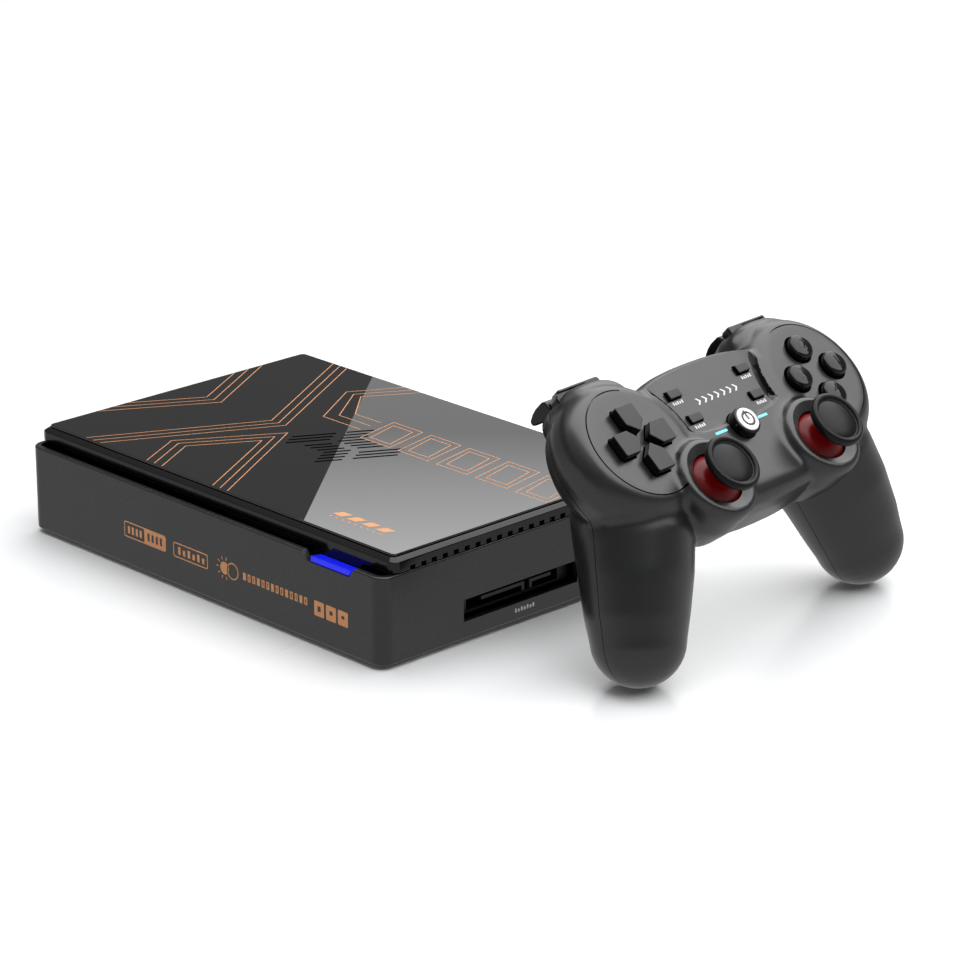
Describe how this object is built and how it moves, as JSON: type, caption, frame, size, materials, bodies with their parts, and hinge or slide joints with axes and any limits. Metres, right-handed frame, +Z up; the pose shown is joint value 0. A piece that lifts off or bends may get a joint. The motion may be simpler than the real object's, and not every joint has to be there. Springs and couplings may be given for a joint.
{
  "type": "game console with controller",
  "caption": "Low set-top game console with a two-part case and a lit bar, and a wireless two-grip controller with sprung keys, sticks and triggers standing beside it.",
  "frame": {"origin": "on the floor, at the middle of the whole object's footprint", "axes": "+X from the console towards the controller, along the console's long side; -Y is the console's front face; +Z up"},
  "size_m": [0.273, 0.1936, 0.0932],
  "materials": {
    "case_plastic": "satin moulded plastic",
    "controller_plastic": "satin moulded plastic with a soft sheen",
    "lid_gloss_plastic": "gloss",
    "lid_panel": "mirror gloss with thin copper line art",
    "blue_light": "lit light guide",
    "circuit_board": "solder mask",
    "cast_fins": "extruded",
    "connector_plastic": "moulded",
    "socket_steel": "plated sheet",
    "rubber": "matt",
    "battery_wrap": "heat-shrink film",
    "key_gloss_plastic": "gloss",
    "key_satin_plastic": "satin",
    "emblem_chrome": "polished",
    "red_gloss_plastic": "gloss",
    "stick_plastic": "moulded",
    "cyan_light": "lit light guide"
  },
  "bodies": {
    "console": {"console_tray": "case_plastic", "console_lid": "lid_gloss_plastic", "lid_top_panel": "lid_panel", "power_light_bar": "blue_light", "main_board": "circuit_board", "heat_sink": "cast_fins", "drive_socket": "connector_plastic", "power_socket": "connector_plastic", "hdmi_socket": "socket_steel", "network_socket": "socket_steel", "usb_socket_left": "socket_steel", "usb_socket_right": "socket_steel", "rubber_foot_1": "rubber", "rubber_foot_2": "rubber", "rubber_foot_3": "rubber", "rubber_foot_4": "rubber", "case_screw_1": "socket_steel", "case_screw_2": "socket_steel", "case_screw_3": "socket_steel", "case_screw_4": "socket_steel"},
    "controller": {"controller_front_shell": "controller_plastic", "controller_rear_shell": "controller_plastic", "controller_board": "circuit_board", "controller_battery": "battery_wrap", "controller_usb_socket": "socket_steel", "left_rumble_motor": "socket_steel", "right_rumble_motor": "socket_steel", "left_home_light": "cyan_light", "right_home_light": "cyan_light"},
    "home_button": {"home_button": "key_gloss_plastic", "home_emblem": "emblem_chrome"},
    "direction_key_right": {"direction_key_right": "key_satin_plastic"},
    "direction_key_up": {"direction_key_up": "key_satin_plastic"},
    "direction_key_left": {"direction_key_left": "key_satin_plastic"},
    "direction_key_down": {"direction_key_down": "key_satin_plastic"},
    "action_button_right": {"action_button_right": "key_gloss_plastic"},
    "action_button_up": {"action_button_up": "key_gloss_plastic"},
    "action_button_left": {"action_button_left": "key_gloss_plastic"},
    "action_button_down": {"action_button_down": "key_gloss_plastic"},
    "select_key": {"select_key": "key_satin_plastic"},
    "start_key": {"start_key": "key_satin_plastic"},
    "turbo_key": {"turbo_key": "key_satin_plastic"},
    "clear_key": {"clear_key": "key_satin_plastic"},
    "left_stick_carrier": {"left_stick_carrier": "stick_plastic"},
    "left_stick_ring": {"left_stick_ring": "stick_plastic"},
    "left_stick": {"left_stick_dome": "red_gloss_plastic", "left_stick_cap": "rubber"},
    "left_bumper": {"left_bumper": "key_gloss_plastic"},
    "left_trigger": {"left_trigger": "key_gloss_plastic"},
    "left_rumble_weight": {"left_rumble_weight": "socket_steel"},
    "right_stick_carrier": {"right_stick_carrier": "stick_plastic"},
    "right_stick_ring": {"right_stick_ring": "stick_plastic"},
    "right_stick": {"right_stick_dome": "red_gloss_plastic", "right_stick_cap": "rubber"},
    "right_bumper": {"right_bumper": "key_gloss_plastic"},
    "right_trigger": {"right_trigger": "key_gloss_plastic"},
    "right_rumble_weight": {"right_rumble_weight": "socket_steel"}
  },
  "joints": [
    {"name": "controller_lift", "type": "slide", "parent": "console", "child": "controller", "axis": [0, 0, 1], "range_m": [0, 0.12]},
    {"name": "home_button_press", "type": "slide", "parent": "controller", "child": "home_button", "axis": [-0.6612, -0.0602, -0.7478], "range_m": [0, 0.0006], "stiffness_N_per_m": 900, "springref_m": -0.0006},
    {"name": "direction_key_right_press", "type": "slide", "parent": "controller", "child": "direction_key_right", "axis": [-0.6612, -0.0602, -0.7478], "range_m": [0, 0.001], "stiffness_N_per_m": 500, "springref_m": -0.001},
    {"name": "direction_key_up_press", "type": "slide", "parent": "controller", "child": "direction_key_up", "axis": [-0.6612, -0.0602, -0.7478], "range_m": [0, 0.001], "stiffness_N_per_m": 500, "springref_m": -0.001},
    {"name": "direction_key_left_press", "type": "slide", "parent": "controller", "child": "direction_key_left", "axis": [-0.6612, -0.0602, -0.7478], "range_m": [0, 0.001], "stiffness_N_per_m": 500, "springref_m": -0.001},
    {"name": "direction_key_down_press", "type": "slide", "parent": "controller", "child": "direction_key_down", "axis": [-0.6612, -0.0602, -0.7478], "range_m": [0, 0.001], "stiffness_N_per_m": 500, "springref_m": -0.001},
    {"name": "action_button_right_press", "type": "slide", "parent": "controller", "child": "action_button_right", "axis": [-0.6612, -0.0602, -0.7478], "range_m": [0, 0.0012], "stiffness_N_per_m": 450, "springref_m": -0.0012},
    {"name": "action_button_up_press", "type": "slide", "parent": "controller", "child": "action_button_up", "axis": [-0.6612, -0.0602, -0.7478], "range_m": [0, 0.0012], "stiffness_N_per_m": 450, "springref_m": -0.0012},
    {"name": "action_button_left_press", "type": "slide", "parent": "controller", "child": "action_button_left", "axis": [-0.6612, -0.0602, -0.7478], "range_m": [0, 0.0012], "stiffness_N_per_m": 450, "springref_m": -0.0012},
    {"name": "action_button_down_press", "type": "slide", "parent": "controller", "child": "action_button_down", "axis": [-0.6612, -0.0602, -0.7478], "range_m": [0, 0.0012], "stiffness_N_per_m": 450, "springref_m": -0.0012},
    {"name": "select_key_press", "type": "slide", "parent": "controller", "child": "select_key", "axis": [-0.6612, -0.0602, -0.7478], "range_m": [0, 0.0005], "stiffness_N_per_m": 800, "springref_m": -0.0005},
    {"name": "start_key_press", "type": "slide", "parent": "controller", "child": "start_key", "axis": [-0.6612, -0.0602, -0.7478], "range_m": [0, 0.0005], "stiffness_N_per_m": 800, "springref_m": -0.0005},
    {"name": "turbo_key_press", "type": "slide", "parent": "controller", "child": "turbo_key", "axis": [-0.6612, -0.0602, -0.7478], "range_m": [0, 0.0005], "stiffness_N_per_m": 800, "springref_m": -0.0005},
    {"name": "clear_key_press", "type": "slide", "parent": "controller", "child": "clear_key", "axis": [-0.6612, -0.0602, -0.7478], "range_m": [0, 0.0005], "stiffness_N_per_m": 800, "springref_m": -0.0005},
    {"name": "left_stick_click", "type": "slide", "parent": "controller", "child": "left_stick_carrier", "axis": [-0.6612, -0.0602, -0.7478], "range_m": [0, 0.0005], "stiffness_N_per_m": 2500, "springref_m": -0.0005},
    {"name": "left_stick_tilt_up_down", "type": "hinge", "parent": "left_stick_carrier", "child": "left_stick_ring", "pos_m": [0.11641, -0.01015, 0.0582], "axis": [-0.0906, 0.9959, 0], "range_deg": [-15, 15], "stiffness_Nm_per_rad": 0.12},
    {"name": "left_stick_tilt_left_right", "type": "hinge", "parent": "left_stick_ring", "child": "left_stick", "pos_m": [0.11641, -0.01015, 0.0582], "axis": [-0.7447, -0.0678, 0.6639], "range_deg": [-15, 15], "stiffness_Nm_per_rad": 0.12},
    {"name": "left_bumper_press", "type": "hinge", "parent": "controller", "child": "left_bumper", "pos_m": [0.0794, -0.02095, 0.08697], "axis": [0.6612, 0.0602, 0.7478], "range_deg": [0, 3], "stiffness_Nm_per_rad": 0.5, "springref_deg": -2.86},
    {"name": "left_trigger_pull", "type": "hinge", "parent": "controller", "child": "left_trigger", "pos_m": [0.0769, -0.03263, 0.08223], "axis": [0.0906, -0.9959, 0], "range_deg": [0, 14], "stiffness_Nm_per_rad": 0.08, "springref_deg": -11.46},
    {"name": "left_rumble_spin", "type": "hinge", "parent": "controller", "child": "left_rumble_weight", "pos_m": [0.10551, -0.03605, 0.04317], "axis": [-0.7447, -0.0678, 0.6639], "continuous": true},
    {"name": "right_stick_click", "type": "slide", "parent": "controller", "child": "right_stick_carrier", "axis": [-0.6612, -0.0602, -0.7478], "range_m": [0, 0.0005], "stiffness_N_per_m": 2500, "springref_m": -0.0005},
    {"name": "right_stick_tilt_up_down", "type": "hinge", "parent": "right_stick_carrier", "child": "right_stick_ring", "pos_m": [0.11111, 0.048, 0.0582], "axis": [-0.0906, 0.9959, 0], "range_deg": [-15, 15], "stiffness_Nm_per_rad": 0.12},
    {"name": "right_stick_tilt_left_right", "type": "hinge", "parent": "right_stick_ring", "child": "right_stick", "pos_m": [0.11111, 0.048, 0.0582], "axis": [-0.7447, -0.0678, 0.6639], "range_deg": [-15, 15], "stiffness_Nm_per_rad": 0.12},
    {"name": "right_bumper_press", "type": "hinge", "parent": "controller", "child": "right_bumper", "pos_m": [0.07276, 0.05195, 0.08697], "axis": [-0.6612, -0.0602, -0.7478], "range_deg": [0, 3], "stiffness_Nm_per_rad": 0.5, "springref_deg": -2.86},
    {"name": "right_trigger_pull", "type": "hinge", "parent": "controller", "child": "right_trigger", "pos_m": [0.0682, 0.06298, 0.08223], "axis": [0.0906, -0.9959, 0], "range_deg": [0, 14], "stiffness_Nm_per_rad": 0.08, "springref_deg": -11.46},
    {"name": "right_rumble_spin", "type": "hinge", "parent": "controller", "child": "right_rumble_weight", "pos_m": [0.09572, 0.07151, 0.04317], "axis": [-0.7447, -0.0678, 0.6639], "continuous": true}
  ]
}
